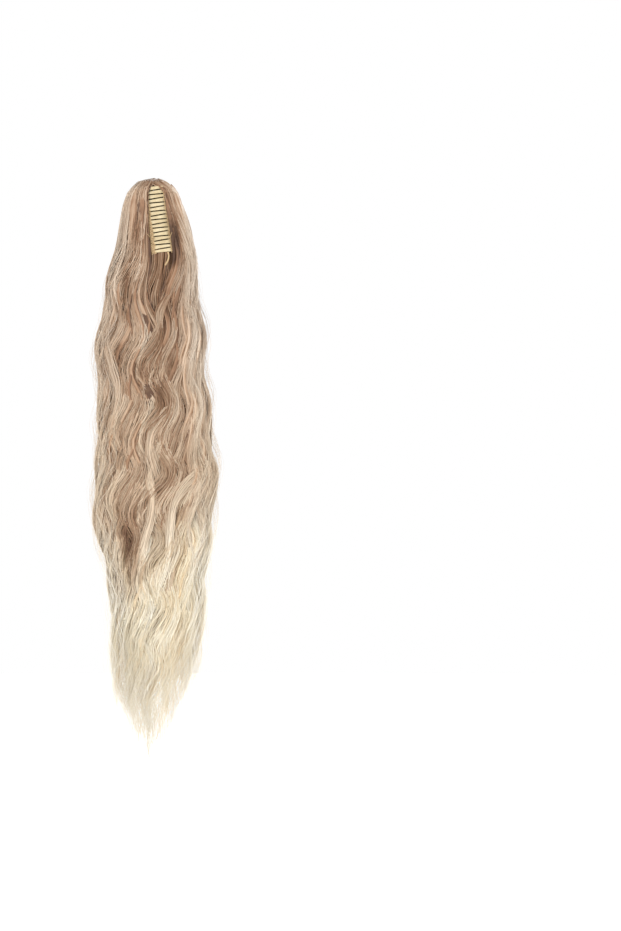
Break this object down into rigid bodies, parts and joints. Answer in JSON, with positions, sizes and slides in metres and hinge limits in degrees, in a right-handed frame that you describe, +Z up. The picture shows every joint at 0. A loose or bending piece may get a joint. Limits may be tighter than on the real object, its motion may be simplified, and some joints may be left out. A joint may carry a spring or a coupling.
{
  "type": "claw clip ponytail hairpiece",
  "caption": "Long wavy ponytail hairpiece, light brown fading to pale blonde tips, sewn on a sprung claw clip that grips the wearer's own bun.",
  "frame": {"origin": "middle of the clip's mouth, where the wearer's own bun sits", "axes": "+Z up against the hanging hair, -Y to the wearer's head and out through the clip's teeth, +X to the right seen from the head's side"},
  "size_m": [0.1544, 0.0831, 0.695],
  "materials": {
    "cream_plastic": "satin",
    "cream_net": "matte",
    "spring_steel": "satin",
    "sewing_thread": "matte",
    "blonde_hair": "satin",
    "pale_hair": "satin"
  },
  "bodies": {
    "root": {"jaw_left": "cream_plastic", "hinge_pin": "spring_steel", "hinge_spring": "spring_steel", "net_left": "cream_net", "thread_tail": "sewing_thread", "hair_crown": "blonde_hair", "hair_fall": "pale_hair"},
    "right_jaw": {"jaw_right": "cream_plastic", "net_right": "cream_net"}
  },
  "joints": [
    {"name": "jaw_hinge", "type": "hinge", "parent": "root", "child": "right_jaw", "pos_m": [0, 0.017, 0], "axis": [-0.1392, 0, 0.9903], "range_deg": [0, 80], "stiffness_Nm_per_rad": 0.03, "springref_deg": -68.75, "deforming": ["hair_crown"]}
  ]
}
